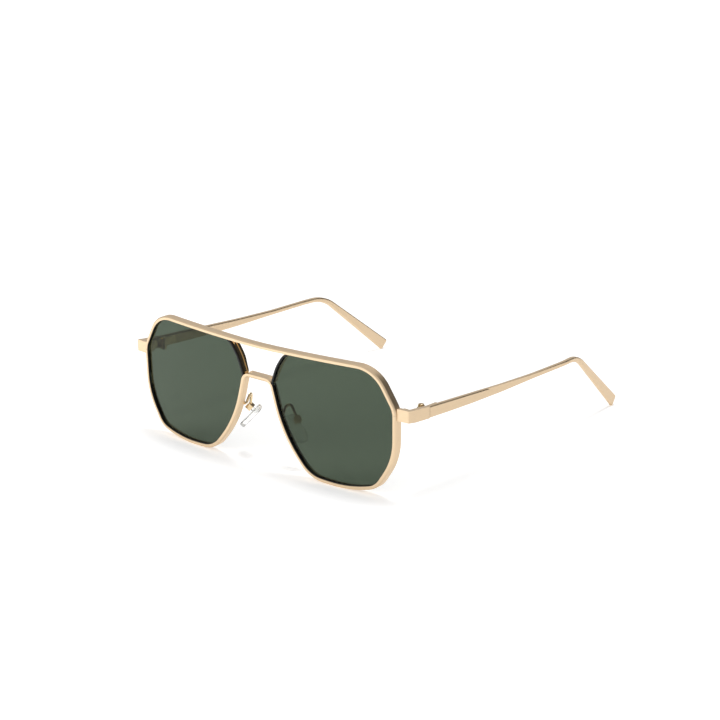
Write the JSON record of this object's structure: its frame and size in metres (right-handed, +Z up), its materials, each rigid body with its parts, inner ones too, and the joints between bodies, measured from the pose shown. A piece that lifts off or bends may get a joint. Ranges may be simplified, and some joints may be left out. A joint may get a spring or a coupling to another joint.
{
  "type": "aviator sunglasses",
  "caption": "Double-bridge metal aviator sunglasses with tinted angular lenses, folding temples on hinge screws and rocking clear nose pads.",
  "frame": {"origin": "on the table, under the centre of the opened sunglasses' box", "axes": "+X to the wearer's left, +Y back towards the ears, +Z up"},
  "size_m": [0.141, 0.1536, 0.0507],
  "materials": {
    "satin_gold": "satin brushed pale gold",
    "polished_gold": "polished pale gold",
    "screw": "polished pale gold, slotted",
    "black_liner": "matt black",
    "tinted_lens": "gloss, green-grey tint",
    "clear_pad": "clear, soft gloss"
  },
  "bodies": {
    "front": {"upper_frame": "satin_gold", "lower_frame": "satin_gold", "left_lens": "tinted_lens", "left_lens_liner": "black_liner", "left_lens_bar": "polished_gold", "left_end_piece": "satin_gold", "left_rim_lock_upper": "polished_gold", "left_rim_lock_lower": "polished_gold", "left_rim_lock_screw": "screw", "left_hinge_front_leaf": "polished_gold", "left_hinge_screw": "screw", "left_pad_box": "polished_gold", "left_pad_pin": "screw", "left_pad_arm": "polished_gold", "right_lens": "tinted_lens", "right_lens_liner": "black_liner", "right_lens_bar": "polished_gold", "right_end_piece": "satin_gold", "right_rim_lock_upper": "polished_gold", "right_rim_lock_lower": "polished_gold", "right_rim_lock_screw": "screw", "right_hinge_front_leaf": "polished_gold", "right_hinge_screw": "screw", "right_pad_box": "polished_gold", "right_pad_pin": "screw", "right_pad_arm": "polished_gold"},
    "left_temple_arm": {"left_temple": "satin_gold", "left_hinge_temple_leaf": "polished_gold"},
    "right_temple_arm": {"right_temple": "satin_gold", "right_hinge_temple_leaf": "polished_gold"},
    "left_pad": {"left_nose_pad": "clear_pad"},
    "right_pad": {"right_nose_pad": "clear_pad"}
  },
  "joints": [
    {"name": "left_temple_fold", "type": "hinge", "parent": "front", "child": "left_temple_arm", "pos_m": [0.0668, -0.05913, 0.0328], "axis": [0, 0, 1], "range_deg": [0, 90]},
    {"name": "right_temple_fold", "type": "hinge", "parent": "front", "child": "right_temple_arm", "pos_m": [-0.0668, -0.05913, 0.0328], "axis": [0, 0, -1], "range_deg": [0, 86]},
    {"name": "left_pad_rock", "type": "hinge", "parent": "front", "child": "left_pad", "pos_m": [0.01243, -0.0667, 0.01938], "axis": [0.3615, 0.9212, 0.1442], "range_deg": [-10, 10]},
    {"name": "right_pad_rock", "type": "hinge", "parent": "front", "child": "right_pad", "pos_m": [-0.01243, -0.0667, 0.01938], "axis": [-0.3615, 0.9212, 0.1442], "range_deg": [-10, 10]}
  ]
}
